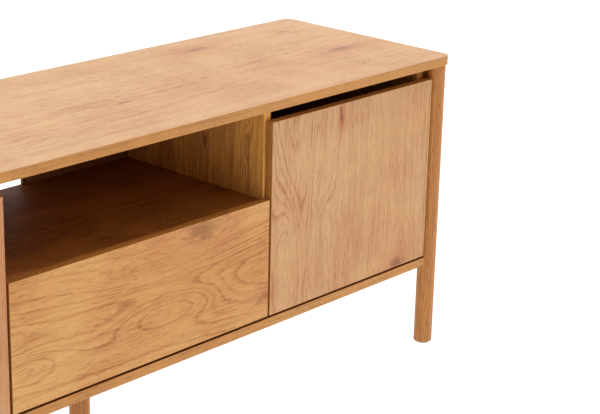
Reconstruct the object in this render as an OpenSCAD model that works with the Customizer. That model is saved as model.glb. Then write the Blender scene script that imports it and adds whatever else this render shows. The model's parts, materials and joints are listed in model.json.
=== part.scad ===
// Sideboard-style television stand: two cupboards beside an open bay with a wide drawer below it.
// Millimetres, +Z up, front facing -Y, origin on the floor under the middle of the top.

/* [Overall] */
// Length of the top panel
stand_w = 1440; // [1300:10:1800]
// Depth of the top panel
stand_d = 400; // [400:10:450]
// Height from the floor to the top surface
stand_h = 550; // [530:5:620]

/* [Boards] */
// Thickness of the top, bottom, side and shelf boards
board_t = 16; // [15:1:18]
// Thickness of the doors and the drawer front
front_t = 15; // [15:1:18]
// Thickness of the two dividers
divider_t = 16; // [15:1:25]
// Thickness of the back boards
back_t = 5; // [3:1:6]
// Corner radius of the top panel in plan
top_corner_r = 20; // [10:1:40]

/* [Legs] */
// Diameter of the round legs
leg_d = 34; // [30:1:40]
// Overhang of the top beyond the legs
leg_overhang = 3; // [2:1:6]
// Thickness of the glides under the legs
glide_h = 2; // [1:1:4]

/* [Cabinet] */
// Height of the underside of the cabinet above the floor
underside_z = 156; // [130:1:164]
// Distance of the door faces behind the front edge of the top
face_inset = 12.5; // [10:0.5:20]
// Gap between the bottom panel and the back legs
back_leg_gap = 1.5; // [1:0.5:30]
// Depth of the centre leg's middle behind the door faces
centre_leg_inset = 170; // [150:5:190]
// Gap between the door backs and the cabinet's front edges
door_backset = 2; // [1.5:0.5:4]
// Height of the finger gap above the doors
finger_gap = 24; // [18:1:30]
// Gap between the fronts and around them
reveal = 4; // [3:0.5:6]

/* [Open bay and drawer] */
// Clear width of the open bay between the dividers
bay_w = 534; // [524:1:540]
// Width of the drawer front
drawer_front_w = 532; // [526:1:540]
// Height of the top edge of the drawer front above the floor
drawer_front_top = 380; // [365:1:400]
// Depth of the bay's floor below the drawer front's top edge
bay_floor_drop = 3.5; // [1:0.5:5]
// Width of the cable cut-out in the back
cable_slot_w = 66; // [30:1:80]
// Height of the cable cut-out
cable_slot_h = 50; // [30:1:80]
// Drawer travel
drawer_travel = 250; // [200:5:260]

/* [Shown position] */
// Opening angle of the doors
door_angle = 0; // [0:1:95]
// How far the drawer is pulled out
drawer_out = 0; // [0:1:250]

/* [Hidden] */
$fn = 64;

// Heights
carcass_floor_z = underside_z + board_t;
roof_z = stand_h - board_t;
door_bottom_z = carcass_floor_z + reveal;
door_top_z = roof_z - finger_gap;
bay_floor_z = drawer_front_top - bay_floor_drop;
carcass_h = roof_z - carcass_floor_z;

// Legs and side panels
leg_r = leg_d / 2;
leg_x = stand_w / 2 - leg_overhang - leg_r;
leg_y = stand_d / 2 - leg_overhang - leg_r;
leg_groove_y = 11;
side_in_x = leg_x - board_t / 2;
side_out_x = leg_x + board_t / 2;
back_groove = 3;
foot_chamfer = 1;

// Depths
face_y = -stand_d / 2 + face_inset;
front_back_y = face_y + front_t;
frame_y = front_back_y + door_backset;
bottom_back_y = leg_y - leg_r - back_leg_gap;
back_y = bottom_back_y - back_t;
centre_leg_y = face_y + centre_leg_inset;

// Doors, measured on the right-hand side
door_gap = 2.5;
door_out_x = leg_x - leg_r - door_gap;
divider_in_x = bay_w / 2;
divider_out_x = divider_in_x + divider_t;
door_in_x = drawer_front_w / 2 + reveal + 0.5;

// Hinge posts stand inside the side panels, packed out by a set-back strip
post_x = door_out_x - 21.5;
post_d = 60;
post_strip_setback = 25;

// Concealed hinges
hinge_zs = [door_bottom_z + 70, door_top_z - 70];
pivot_inset = 3;
pivot_x = door_out_x - pivot_inset;
pivot_y = face_y + pivot_inset;
cup_r = 17.5;
cup_depth = 11.5;
cup_wall = 1.5;
cup_x = door_out_x - 22;
cup_flange_t = 1.2;
plate_t = 3;
arm_w = 8;
arm_h = 12;
arm_nose = 7;
plate_len = 36;
plate_h = 44;
plate_screw_dz = 15;

// Catches and bumpers
catch_w = 12;
catch_d = 20;
catch_h = 40;
catch_z = door_top_z - 40;
strike_t = 1.2;
catch_gap = 0.5;
bumper_r = 3;
bumper_h = 1.7;

// Cupboard shelves
shelf_y0 = -100;
shelf_side_gap = 1;
shelf_z = 340;
pin_r = 2.5;
pin_len = 16;
pin_ys = [-70, 100];
pin_step = 32;

// Drawer box and its runners
runner_gap = 13;
box_t = 12;
box_x = divider_in_x - runner_gap;
box_z0 = carcass_floor_z + 14;
box_z1 = box_z0 + 140;
box_back_y = front_back_y + 290;
tray_t = 5;
tray_z = box_z0 + 8;
tray_groove = 6;
fit_gap = 0.1;
runner_z = 252.5;
runner_y0 = frame_y + 2.5;
runner_len = 285;
rail_t = 1.5;

// Push latch under the bay floor
latch_w = 18;
latch_h = 16;
latch_len = 60;
latch_y0 = frame_y + 4.5;
plunger_r = 4;
plunger_gap = 0.3;
plunger_len = 42;

// Dowels, cams and screws
dowel_r = 4;
dowel_len = 24;
dowel_fit = 0.05;
cam_r = 7.5;
cam_depth = 12;
cam_x = divider_in_x - 24;
cam_ys = [-90, 60];
cam_bolt_r = 3;
cam_bolt_bite = 10;
screw_r = 1.5;
screw_len = 18;
screw_head_r = 3.5;
screw_head_h = 1.5;
screw_pair_dx = 4;
fixing_r = 2;
drawer_screw_xs = [-170, 170];
drawer_screw_zs = [box_z0 + 35, box_z0 + 105];
drawer_screw_bite = 10;

oak = [0.83, 0.64, 0.43];
oak_face = [0.80, 0.60, 0.40];
oak_solid = [0.74, 0.50, 0.28];
oak_inside = [0.66, 0.45, 0.25];
steel = [0.72, 0.73, 0.75];
dark = [0.16, 0.16, 0.17];
birch = [0.84, 0.74, 0.58];

// A box from its lowest corner to its highest corner
module slab(low, high) {
    translate(low) cube(high - low);
}

// Children as drawn on the right, or mirrored to the left
module on_side(side) {
    if (side < 0) mirror([1, 0, 0]) children();
    else children();
}

// A cylinder along Y from y0, centred at x and z
module rod_y(r, x, y0, z, len) {
    translate([x, y0, z]) rotate([-90, 0, 0]) cylinder(r = r, h = len);
}

// A cylinder along X from x0, centred at y and z
module rod_x(r, x0, y, z, len) {
    translate([x0, y, z]) rotate([0, 90, 0]) cylinder(r = r, h = len);
}

module rounded_plan(w, d, r) {
    square([w - 2 * r, d], center = true);
    square([w, d - 2 * r], center = true);
    for (sx = [-1, 1], sy = [-1, 1]) {
        translate([sx * (w / 2 - r), sy * (d / 2 - r)]) circle(r = r);
    }
}

// Places of the upright dowels: [x, y, height of the joint they bridge]
function upright_dowels() = concat(
    [for (sx = [-1, 1], sy = [-1, 1]) [sx * leg_x, sy * leg_y, roof_z]],
    [for (sx = [-1, 1], y = [-60, 90]) [sx * leg_x, y, roof_z]],
    [for (sx = [-1, 1], y = [-60, 90]) [sx * leg_x, y, carcass_floor_z]],
    [for (sx = [-1, 1], y = [-110, 90], z = [carcass_floor_z, roof_z])
        [sx * (divider_in_x + divider_t / 2), y, z]],
    [for (sx = [-1, 1], z = [carcass_floor_z, roof_z]) [sx * (post_x + board_t / 2), frame_y + 30, z]],
    [[0, centre_leg_y, underside_z]]
);

// All wooden dowels, or the holes that take them when extra is the clearance
module dowel_set(extra = 0) {
    r = dowel_r + extra;
    len = dowel_len + 2 * extra;
    for (p = upright_dowels()) {
        translate([p[0], p[1], p[2] - len / 2]) cylinder(r = r, h = len);
    }
    for (sx = [-1, 1], sy = [-1, 1], z = [240, 460]) {
        y = sy * (leg_y - leg_groove_y);
        rod_y(r, sx * leg_x, y - len / 2, z, len);
    }
    for (sx = [-1, 1], y = [-130, 110]) {
        rod_x(r, sx * divider_in_x - len / 2, y, bay_floor_z - board_t / 2, len);
    }
}

// Cuts the dowel holes out of a board or a leg
module dowelled() {
    difference() {
        children();
        dowel_set(dowel_fit);
    }
}

module top_panel() {
    color(oak) dowelled() {
        translate([0, 0, roof_z]) linear_extrude(board_t) rounded_plan(stand_w, stand_d, top_corner_r);
    }
}

// The front corners are cut away round the legs
module bottom_panel() {
    color(oak) dowelled() difference() {
        slab([-side_out_x, face_y, underside_z], [side_out_x, bottom_back_y, carcass_floor_z]);
        for (sx = [-1, 1]) {
            translate([sx * leg_x, -leg_y, underside_z - 1]) cylinder(r = leg_r + fit_gap, h = board_t + 2);
        }
    }
}

// Holes for the shelf pins, drilled into a face at x and running towards +X or -X
module pin_holes(x, direction) {
    for (y = pin_ys, k = [-1, 0, 1]) {
        z = shelf_z - pin_r + k * pin_step;
        x0 = direction > 0 ? x : x - pin_len / 2 - 1;
        rod_x(pin_r + dowel_fit, x0, y, z, pin_len / 2 + 1);
    }
}

module side_panel(side) {
    color(oak) on_side(side) difference() {
        dowelled() slab([side_in_x, -leg_y + leg_groove_y, carcass_floor_z],
                        [side_out_x, leg_y - leg_groove_y, roof_z]);
        slab([side_in_x - 1, back_y - fit_gap, carcass_floor_z - 1],
             [side_in_x + back_groove, back_y + back_t + fit_gap, roof_z + 1]);
        pin_holes(side_in_x, 1);
    }
}

module divider(side) {
    color(oak_face) on_side(side) difference() {
        dowelled() slab([divider_in_x, frame_y, carcass_floor_z], [divider_out_x, back_y, roof_z]);
        pin_holes(divider_out_x, -1);
        cam_bolt_set(dowel_fit);
        screw_holes(dowel_fit);
    }
}

module bay_floor() {
    color(oak_face) difference() {
        dowelled() slab([-divider_in_x, frame_y, bay_floor_z - board_t], [divider_in_x, back_y, bay_floor_z]);
        cam_disc_set(dowel_fit);
        cam_bolt_set(dowel_fit);
        screw_holes(dowel_fit);
    }
}

module cable_slot_plan() {
    corner_r = 12;
    half_w = cable_slot_w / 2;
    translate([-half_w, 0]) square([cable_slot_w, cable_slot_h - corner_r]);
    translate([-half_w + corner_r, 0]) square([cable_slot_w - 2 * corner_r, cable_slot_h]);
    for (sx = [-1, 1]) {
        translate([sx * (half_w - corner_r), cable_slot_h - corner_r]) circle(r = corner_r);
    }
}

// The slot rises from the bay's floor, so that leads lie flat as they leave
module back_board_centre() {
    half_w = divider_in_x + divider_t / 2;
    color(oak_inside) difference() {
        slab([-half_w, back_y, carcass_floor_z], [half_w, back_y + back_t, roof_z]);
        translate([0, back_y + back_t + 1, bay_floor_z]) rotate([90, 0, 0])
            linear_extrude(back_t + 2) cable_slot_plan();
        screw_holes(dowel_fit);
    }
}

module back_board_outer(side) {
    color(oak_inside) on_side(side) difference() {
        slab([divider_in_x + divider_t / 2, back_y, carcass_floor_z],
             [side_in_x + back_groove, back_y + back_t, roof_z]);
        screw_holes(dowel_fit);
    }
}

// Round post with an eased foot and a peg hole for its glide
module leg_post(top_z) {
    difference() {
        rotate_extrude() polygon([
            [0, glide_h], [leg_r - foot_chamfer, glide_h], [leg_r, glide_h + foot_chamfer],
            [leg_r, top_z], [0, top_z]
        ]);
        translate([0, 0, glide_h - 1]) cylinder(r = 3.05, h = 12);
    }
}

// A corner leg, grooved on the side that faces along the depth to house the side panel's edge
module corner_leg(sx, sy) {
    color(oak_solid) dowelled() difference() {
        translate([sx * leg_x, sy * leg_y, 0]) leg_post(roof_z);
        slab([sx * leg_x - board_t / 2, min(0, sy * (leg_y - leg_groove_y)), carcass_floor_z],
             [sx * leg_x + board_t / 2, max(0, sy * (leg_y - leg_groove_y)), roof_z + 1]);
    }
}

module leg_centre() {
    color(oak_solid) dowelled() translate([0, centre_leg_y, 0]) leg_post(underside_z);
}

module foot_glides() {
    places = concat([for (sx = [-1, 1], sy = [-1, 1]) [sx * leg_x, sy * leg_y]], [[0, centre_leg_y]]);
    color(dark) for (p = places) {
        translate([p[0], p[1], 0]) {
            cylinder(r = leg_r - 3, h = glide_h);
            cylinder(r = 3, h = glide_h + 10);
        }
    }
}

// Hinge batten packed out from the side panel by a strip that is set back from the front
module hinge_post(side) {
    color(oak_face) on_side(side) difference() {
        dowelled() translate([0, 0, carcass_floor_z]) linear_extrude(carcass_h) polygon([
            [post_x, frame_y], [post_x + board_t, frame_y],
            [post_x + board_t, frame_y + post_strip_setback], [side_in_x, frame_y + post_strip_setback],
            [side_in_x, frame_y + post_d], [post_x, frame_y + post_d]
        ]);
        hinge_screw_set(dowel_fit);
    }
}

module cupboard_shelf(side) {
    color(oak_face) on_side(side)
        slab([divider_out_x + shelf_side_gap, shelf_y0, shelf_z],
             [side_in_x - shelf_side_gap, back_y - 2, shelf_z + board_t]);
}

module shelf_pins() {
    z = shelf_z - pin_r;
    color(steel) for (side = [-1, 1], y = pin_ys) on_side(side) {
        rod_x(pin_r, divider_out_x - pin_len / 2, y, z, pin_len);
        rod_x(pin_r, side_in_x - pin_len / 2, y, z, pin_len);
    }
}

module dowels() {
    color(birch) dowel_set();
}

module cam_disc_set(extra = 0) {
    for (side = [-1, 1], y = cam_ys) {
        translate([side * cam_x, y, bay_floor_z - board_t - extra])
            cylinder(r = cam_r + extra, h = cam_depth + 2 * extra);
    }
}

module cam_bolt_set(extra = 0) {
    x0 = cam_x + cam_r + 1;
    len = divider_in_x + cam_bolt_bite - x0 + 2 * extra;
    for (side = [-1, 1], y = cam_ys) on_side(side) {
        rod_x(cam_bolt_r + extra, x0 - extra, y, bay_floor_z - board_t / 2, len);
    }
}

module cam_discs() {
    color(steel) cam_disc_set();
}

module cam_bolts() {
    color(steel) cam_bolt_set();
}

// Places of the back-board screws in plan of the back: [x, z]
function screw_places() = concat(
    [for (sx = [-1, 1], side = [-1, 1], z = [200, 290, 420, 510])
        [sx * (divider_in_x + divider_t / 2) + side * screw_pair_dx, z]],
    [for (x = [-180, -60, 60, 180]) [x, bay_floor_z - board_t / 2]]
);

module screw_holes(extra) {
    for (p = screw_places()) {
        rod_y(screw_r + extra, p[0], back_y + back_t - screw_len - extra, p[1], screw_len + 1);
    }
}

module back_screws() {
    color(steel) for (p = screw_places()) {
        rod_y(screw_r, p[0], back_y + back_t - screw_len, p[1], screw_len);
        rod_y(screw_head_r, p[0], back_y + back_t, p[1], screw_head_h);
    }
}

// Mounting plate and arm of each concealed hinge, with its nose reaching into the cup
module hinge_arm(z) {
    plate_y0 = frame_y + 12;
    difference() {
        union() {
            slab([post_x - plate_t, plate_y0, z - plate_h / 2],
                 [post_x, plate_y0 + plate_len - 12, z + plate_h / 2]);
            slab([post_x - plate_t - arm_w, frame_y - 0.5, z - arm_h / 2],
                 [post_x - plate_t, plate_y0 + plate_len, z + arm_h / 2]);
            slab([post_x - plate_t - arm_w, front_back_y - arm_nose, z - arm_h / 2],
                 [post_x - plate_t - 1, frame_y, z + arm_h / 2]);
        }
        hinge_screw_set(dowel_fit);
    }
}

module hinge_arms(side) {
    color(steel) on_side(side) for (z = hinge_zs) hinge_arm(z);
}

// Screws that hold the mounting plates to the posts, drawn on the right
module hinge_screw_set(extra = 0) {
    for (z = hinge_zs, dz = [-plate_screw_dz, plate_screw_dz]) {
        rod_x(fixing_r + extra, post_x - plate_t - extra, frame_y + 24, z + dz, 13 + 2 * extra);
    }
}

module hinge_screws() {
    color(steel) for (side = [-1, 1]) on_side(side) {
        hinge_screw_set();
        for (z = hinge_zs, dz = [-plate_screw_dz, plate_screw_dz]) {
            rod_x(3.5, post_x - plate_t - 1.5, frame_y + 24, z + dz, 1.5);
        }
    }
}

module door_catches() {
    y0 = front_back_y + strike_t + catch_gap;
    color(dark) for (side = [-1, 1]) on_side(side)
        slab([divider_out_x, y0, catch_z - catch_h / 2],
             [divider_out_x + catch_w, y0 + catch_d, catch_z + catch_h / 2]);
}

module door_bumpers() {
    x = (door_in_x + divider_out_x) / 2;
    color(dark) for (side = [-1, 1], z = [door_bottom_z + 20, door_top_z - 15]) on_side(side)
        rod_y(bumper_r, x, frame_y - bumper_h, z, bumper_h);
}

// One channel of a runner: web at x0, flanges reaching dx from it, drawn on the right
module channel(web_x, reach, half_h) {
    lip_x = min(web_x, web_x + reach);
    translate([0, runner_y0, runner_z]) {
        translate([web_x - rail_t / 2, 0, -half_h]) cube([rail_t, runner_len, 2 * half_h]);
        for (z = [-half_h, half_h - rail_t]) translate([lip_x, 0, z]) cube([abs(reach), runner_len, rail_t]);
    }
}

module runner_outer(side) {
    color(steel) on_side(side) channel(divider_in_x - rail_t / 2, -9, 22.5);
}

module runner_middle(side) {
    color(steel) on_side(side) channel(divider_in_x - 3.25, -6.5, 19.5);
}

module runner_inner(side) {
    color(steel) on_side(side) channel(box_x + rail_t / 2, 6.5, 16.5);
}

module latch_housing() {
    z = bay_floor_z - board_t - latch_h / 2;
    color(dark) difference() {
        slab([-latch_w / 2, latch_y0, z - latch_h / 2], [latch_w / 2, latch_y0 + latch_len, z + latch_h / 2]);
        rod_y(plunger_r + plunger_gap, 0, latch_y0 - 1, z, plunger_len + 6);
    }
}

module latch_plunger() {
    z = bay_floor_z - board_t - latch_h / 2;
    color(birch) rod_y(plunger_r, 0, front_back_y + plunger_gap, z, plunger_len);
}

module door(side) {
    color(oak_face) on_side(side) difference() {
        slab([door_in_x, face_y, door_bottom_z], [door_out_x, front_back_y, door_top_z]);
        for (z = hinge_zs) {
            rod_y(cup_r + dowel_fit, cup_x, front_back_y - cup_depth - dowel_fit, z, cup_depth + 1);
        }
    }
}

// Steel cup let into the door's back, with a flange on the surface
module hinge_cup(z) {
    difference() {
        union() {
            rod_y(cup_r, cup_x, front_back_y - cup_depth, z, cup_depth);
            slab([cup_x - 11, front_back_y, z - 26], [cup_x + 11, front_back_y + cup_flange_t, z + 26]);
        }
        rod_y(cup_r - cup_wall, cup_x, front_back_y - cup_depth + 1, z, cup_depth + cup_flange_t + 1);
    }
}

module hinge_cups(side) {
    color(steel) on_side(side) for (z = hinge_zs) hinge_cup(z);
}

module strike(side) {
    color(steel) on_side(side)
        slab([divider_out_x + 0.5, front_back_y, catch_z - 15],
             [divider_out_x + catch_w - 0.5, front_back_y + strike_t, catch_z + 15]);
}

module drawer_front() {
    color(oak_face) difference() {
        slab([-drawer_front_w / 2, face_y, door_bottom_z],
             [drawer_front_w / 2, front_back_y, drawer_front_top]);
        drawer_screw_set(dowel_fit);
    }
}

// Groove round the inside of the drawer box for its bottom
module tray_groove_cut() {
    slab([-box_x + box_t - tray_groove, front_back_y + box_t - tray_groove, tray_z - fit_gap],
         [box_x - box_t + tray_groove, box_back_y - box_t + tray_groove, tray_z + tray_t + fit_gap]);
}

module drawer_side(side) {
    color(birch) on_side(side) difference() {
        slab([box_x - box_t, front_back_y, box_z0], [box_x, box_back_y, box_z1]);
        tray_groove_cut();
    }
}

module drawer_box_front() {
    color(birch) difference() {
        slab([-box_x + box_t, front_back_y, box_z0], [box_x - box_t, front_back_y + box_t, box_z1]);
        tray_groove_cut();
        drawer_screw_set(dowel_fit);
    }
}

module drawer_box_back() {
    color(birch) difference() {
        slab([-box_x + box_t, box_back_y - box_t, box_z0], [box_x - box_t, box_back_y, box_z1]);
        tray_groove_cut();
    }
}

module drawer_bottom() {
    inset = box_t - tray_groove + fit_gap;
    color(oak_inside) slab([-box_x + inset, front_back_y + inset, tray_z],
                           [box_x - inset, box_back_y - inset, tray_z + tray_t]);
}

// Shanks through the box front into the drawer front, or their holes when extra is the clearance
module drawer_screw_set(extra = 0) {
    len = drawer_screw_bite + box_t + 2 * extra;
    for (x = drawer_screw_xs, z = drawer_screw_zs) {
        rod_y(fixing_r + extra, x, front_back_y - drawer_screw_bite - extra, z, len);
    }
}

module drawer_screws() {
    color(steel) {
        drawer_screw_set();
        for (x = drawer_screw_xs, z = drawer_screw_zs) rod_y(4, x, front_back_y + box_t, z, 1.8);
    }
}

// Places moving pieces at the shown position
module on_door(side) {
    translate([side * pivot_x, pivot_y, 0]) rotate([0, 0, side * door_angle])
        translate([-side * pivot_x, -pivot_y, 0]) children();
}

module on_drawer(share = 1) {
    translate([0, -share * min(drawer_out, drawer_travel), 0]) children();
}

top_panel();
bottom_panel();
side_panel(-1);  // side_panel_left
side_panel(1);  // side_panel_right
divider(-1);  // divider_left
divider(1);  // divider_right
bay_floor();
back_board_outer(-1);  // back_board_left
back_board_centre();
back_board_outer(1);  // back_board_right
corner_leg(-1, -1);  // leg_front_left
corner_leg(1, -1);  // leg_front_right
corner_leg(-1, 1);  // leg_back_left
corner_leg(1, 1);  // leg_back_right
leg_centre();
foot_glides();
hinge_post(-1);  // hinge_post_left
hinge_post(1);  // hinge_post_right
cupboard_shelf(-1);  // cupboard_shelf_left
cupboard_shelf(1);  // cupboard_shelf_right
shelf_pins();
dowels();
cam_discs();
cam_bolts();
back_screws();
hinge_arms(-1);  // hinge_arms_left
hinge_arms(1);  // hinge_arms_right
hinge_screws();
door_catches();
door_bumpers();
runner_outer(-1);  // runner_outer_left
runner_outer(1);  // runner_outer_right
on_drawer(0.5) runner_middle(-1);  // runner_middle_left
on_drawer(0.5) runner_middle(1);  // runner_middle_right
on_drawer() runner_inner(-1);  // runner_inner_left
on_drawer() runner_inner(1);  // runner_inner_right
latch_housing();
latch_plunger();
on_door(-1) door(-1);  // door_left
on_door(1) door(1);  // door_right
on_door(-1) hinge_cups(-1);  // hinge_cups_left
on_door(1) hinge_cups(1);  // hinge_cups_right
on_door(-1) strike(-1);  // strike_left
on_door(1) strike(1);  // strike_right
on_drawer() drawer_front();
on_drawer() drawer_box_front();
on_drawer() drawer_box_back();
on_drawer() drawer_side(-1);  // drawer_side_left
on_drawer() drawer_side(1);  // drawer_side_right
on_drawer() drawer_bottom();
on_drawer() drawer_screws();
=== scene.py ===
"""Television stand in oak: two cupboards beside an open bay and a drawer, on round legs."""

import json
import math

import bmesh
import bpy
from mathutils import Matrix, Vector


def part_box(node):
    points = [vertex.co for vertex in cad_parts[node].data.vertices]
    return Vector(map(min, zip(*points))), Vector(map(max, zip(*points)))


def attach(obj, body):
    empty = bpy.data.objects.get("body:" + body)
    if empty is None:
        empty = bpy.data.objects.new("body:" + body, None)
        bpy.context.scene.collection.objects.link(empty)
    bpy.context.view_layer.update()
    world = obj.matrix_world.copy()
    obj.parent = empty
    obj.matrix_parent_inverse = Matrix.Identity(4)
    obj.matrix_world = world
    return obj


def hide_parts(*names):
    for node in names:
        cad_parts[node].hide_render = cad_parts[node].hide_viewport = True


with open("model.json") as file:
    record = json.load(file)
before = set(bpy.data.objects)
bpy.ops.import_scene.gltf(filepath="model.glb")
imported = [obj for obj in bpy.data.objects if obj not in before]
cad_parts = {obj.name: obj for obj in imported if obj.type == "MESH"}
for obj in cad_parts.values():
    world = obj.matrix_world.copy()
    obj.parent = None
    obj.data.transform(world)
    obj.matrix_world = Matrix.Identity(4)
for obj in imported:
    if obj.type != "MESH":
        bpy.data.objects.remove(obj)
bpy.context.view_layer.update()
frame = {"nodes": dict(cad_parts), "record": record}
nodes = frame["nodes"]
bodies = frame["record"]["behaviour"]["bodies"]
node_body = {node: body for body, members in bodies.items() for node in members}

X, Y, Z = 0, 1, 2

# Points of a CAD mesh this close together are one point, in metres.
WELD = 1e-6


# ---------------------------------------------------------------- material graphs

class Graph:
    """A material's node tree, with short calls for the nodes that the finishes share."""

    def __init__(self, name):
        self.material = bpy.data.materials.new(name)
        self.material.use_nodes = True
        self.tree = self.material.node_tree
        self.shader = self.tree.nodes["Principled BSDF"]

    def feed(self, socket, value):
        """Links a socket to another, or sets its value."""
        if isinstance(value, bpy.types.NodeSocket):
            self.tree.links.new(value, socket)
        elif hasattr(value, "__len__") and len(value) == 3 and socket.type == "RGBA":
            socket.default_value = (*value, 1)
        else:
            socket.default_value = value

    def node(self, kind, inputs=None, **settings):
        """Adds a shader node, sets it up and feeds its inputs."""
        made = self.tree.nodes.new("ShaderNode" + kind)
        for key, value in settings.items():
            setattr(made, key, value)
        for key, value in (inputs or {}).items():
            self.feed(made.inputs[key], value)
        return made

    def math(self, operation, *values):
        """The result of one Math operation."""
        made = self.node("Math", operation=operation)
        for socket, value in zip(made.inputs, values):
            self.feed(socket, value)
        return made.outputs[0]

    def add(self, *values):
        """The sum of the values."""
        total = values[0]
        for value in values[1:]:
            total = self.math("ADD", total, value)
        return total

    def times(self, *values):
        """The product of the values."""
        total = values[0]
        for value in values[1:]:
            total = self.math("MULTIPLY", total, value)
        return total

    def step(self, value, start, end, low=0.0, high=1.0):
        """Goes smoothly from low to high while value goes from start to end."""
        inputs = {"Value": value, "From Min": start, "From Max": end, "To Min": low, "To Max": high}
        return self.node("MapRange", inputs, interpolation_type="SMOOTHSTEP").outputs[0]

    def vector(self, x, y, z):
        """One vector from three values."""
        return self.node("CombineXYZ", {"X": x, "Y": y, "Z": z}).outputs[0]

    def noise(self, vector, scale, detail=2.0, roughness=0.5):
        """Noise about 0.5, at scale waves per unit along each axis of a vector that is scaled first."""
        scaled = self.node("VectorMath", {0: vector, 1: scale}, operation="MULTIPLY").outputs[0]
        inputs = {"Vector": scaled, "Scale": 1.0, "Detail": detail, "Roughness": roughness}
        return self.node("TexNoise", inputs).outputs[0]

    def sway(self, vector, scale, detail):
        """Noise about zero, for pushing something to and fro."""
        return self.math("SUBTRACT", self.noise(vector, scale, detail), 0.5)

    def blend(self, factor, a, b, mode="MIX"):
        """Colour a with colour b over it by the factor."""
        made = self.node("Mix", data_type="RGBA", blend_type=mode)
        self.feed(made.inputs[0], factor)
        self.feed(made.inputs[6], a)
        self.feed(made.inputs[7], b)
        return made.outputs[2]

    def bump(self, height, depth):
        """Relief on the surface: depth is how high, in metres, a height of 1 stands."""
        made = self.node("Bump", {"Height": height, "Distance": depth, "Strength": 1.0})
        self.feed(self.shader.inputs["Normal"], made.outputs[0])


# Linear colours that all the woods share
KNOT_HALO = (0.46, 0.150, 0.052)
KNOT_HEART = (0.20, 0.048, 0.014)
WARM_SHEEN = (1.0, 0.90, 0.70)


def bend_round_knots(g, seeded, u, v, across, knots):
    """Pushes the fibres aside at the knots: their new place across, and masks of hearts and halos."""
    heart = 0.0
    halo = 0.0
    for along_k, across_k, radius, squeeze in knots:
        du = g.times(g.math("SUBTRACT", u, along_k), squeeze)
        dv = g.math("SUBTRACT", v, across_k)
        spread = g.add(g.times(du, du), g.times(dv, dv))
        push = g.math("DIVIDE", radius * radius, g.add(spread, radius * radius * 0.4))
        across = g.math("SUBTRACT", across, g.times(dv, push))
        ragged = g.noise(seeded, (60.0, 220.0, 220.0), 3.0)
        reach = g.times(g.math("SQRT", spread), g.step(ragged, 0.3, 0.7, 0.6, 1.5))
        heart = g.math("MAXIMUM", heart, g.step(reach, radius * 1.05, radius * 0.35))
        halo = g.math("MAXIMUM", halo, g.step(reach, radius * 3.6, radius * 0.4))
    return across, heart, halo


def growth_rings(g, seeded, u, v, w, across, hills, pith, taper, ring, swells):
    """The dark bands of early wood as a mask, from the distance to the pith.

    The log's taper and its swellings, the hills, turn the rings into arches where the board cuts them.
    """
    dy = g.math("SUBTRACT", across, pith[0])
    dz = g.add(w, pith[1])
    depth = g.math("SQRT", g.add(g.times(dy, dy), g.times(dz, dz)))
    depth = g.add(depth, g.times(u, -taper))
    for along_h, across_h, length, width, height in hills:
        du = g.times(g.math("SUBTRACT", u, along_h), 1 / length)
        dv = g.times(g.math("SUBTRACT", v, across_h), 1 / width)
        far = g.add(g.times(du, du), g.times(dv, dv))
        depth = g.add(depth, g.math("DIVIDE", height, g.add(1.0, far)))
    swell = g.sway(seeded, (5.0, 16.0, 16.0), 2.0)
    ragged_line = g.sway(seeded, (50.0, 120.0, 120.0), 3.0)
    depth = g.add(depth, g.times(swell, swells), g.times(ragged_line, ring * 0.6))
    phase = g.times(depth, 1 / ring)
    part = g.math("FRACT", phase)
    index = g.math("FLOOR", phase)
    vigour = g.node("TexWhiteNoise", {"W": index}, noise_dimensions="1D").outputs["Value"]
    band = g.times(g.step(part, 0.0, 0.16), g.step(part, 0.20, 0.62, 1.0, 0.0))
    return g.times(band, g.step(vigour, 0.0, 0.9, 0.20, 1.0))


def wood_fibres(g, u, across, w, seed):
    """Noise drawn out along the grain, from broad streaks to threads, fibres, hairs and short dashes."""
    flow = g.vector(g.add(u, seed), g.add(across, seed), g.add(w, seed))
    streak = g.noise(flow, (2.6, 46.0, 46.0), 3.0, 0.6)
    thread = g.noise(flow, (7.0, 150.0, 150.0), 3.0, 0.6)
    fibre = g.noise(flow, (22.0, 420.0, 420.0), 3.0, 0.65)
    hair = g.noise(flow, (90.0, 1600.0, 1600.0), 2.0, 0.6)
    dash = g.noise(flow, (60.0, 700.0, 700.0), 1.0)
    return streak, thread, fibre, hair, dash


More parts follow.
